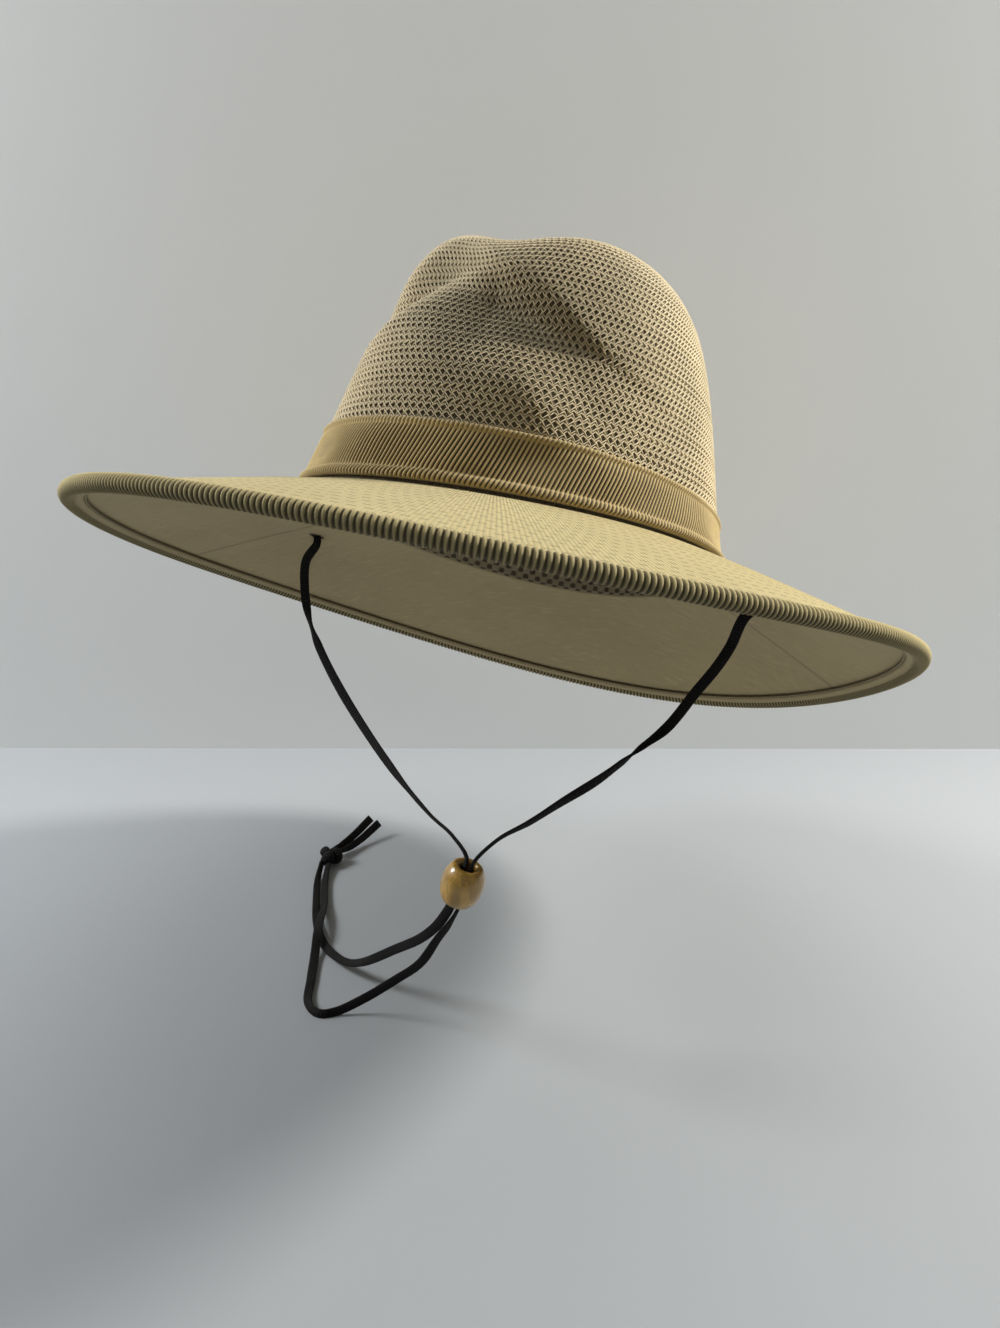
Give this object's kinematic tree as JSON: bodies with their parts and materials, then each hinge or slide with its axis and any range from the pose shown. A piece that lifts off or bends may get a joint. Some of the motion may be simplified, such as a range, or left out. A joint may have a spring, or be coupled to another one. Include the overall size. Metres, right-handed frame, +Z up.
{
  "type": "safari hat",
  "caption": "Safari hat with a pinched mesh crown, ribbed cloth band, drooping canvas brim with a fat rolled edge, and a flat chin lace drawn through a wooden bead.",
  "frame": {"origin": "middle of the head opening, where the hat sits on a head", "axes": "+Z up as worn, the wearer faces -Y, +X is the wearer's left; the hat is tipped back 25 degrees on the head"},
  "size_m": [0.3349, 0.3173, 0.3333],
  "materials": {
    "mesh_cloth": "open knitted mesh",
    "band_cloth": "ribbed cloth",
    "canvas": "canvas",
    "canvas_under": "plain canvas",
    "lace": "flat woven tape",
    "bead_wood": "varnished"
  },
  "bodies": {
    "root": {"crown": "mesh_cloth", "hat_band": "band_cloth", "brim": "canvas", "brim_hem": "canvas_under", "rolled_edge": "canvas", "bead": "bead_wood", "lace_knot": "lace", "chin_lace_right": "lace", "chin_lace_left": "lace", "lace_end_right": "lace", "lace_end_left": "lace"}
  },
  "joints": []
}
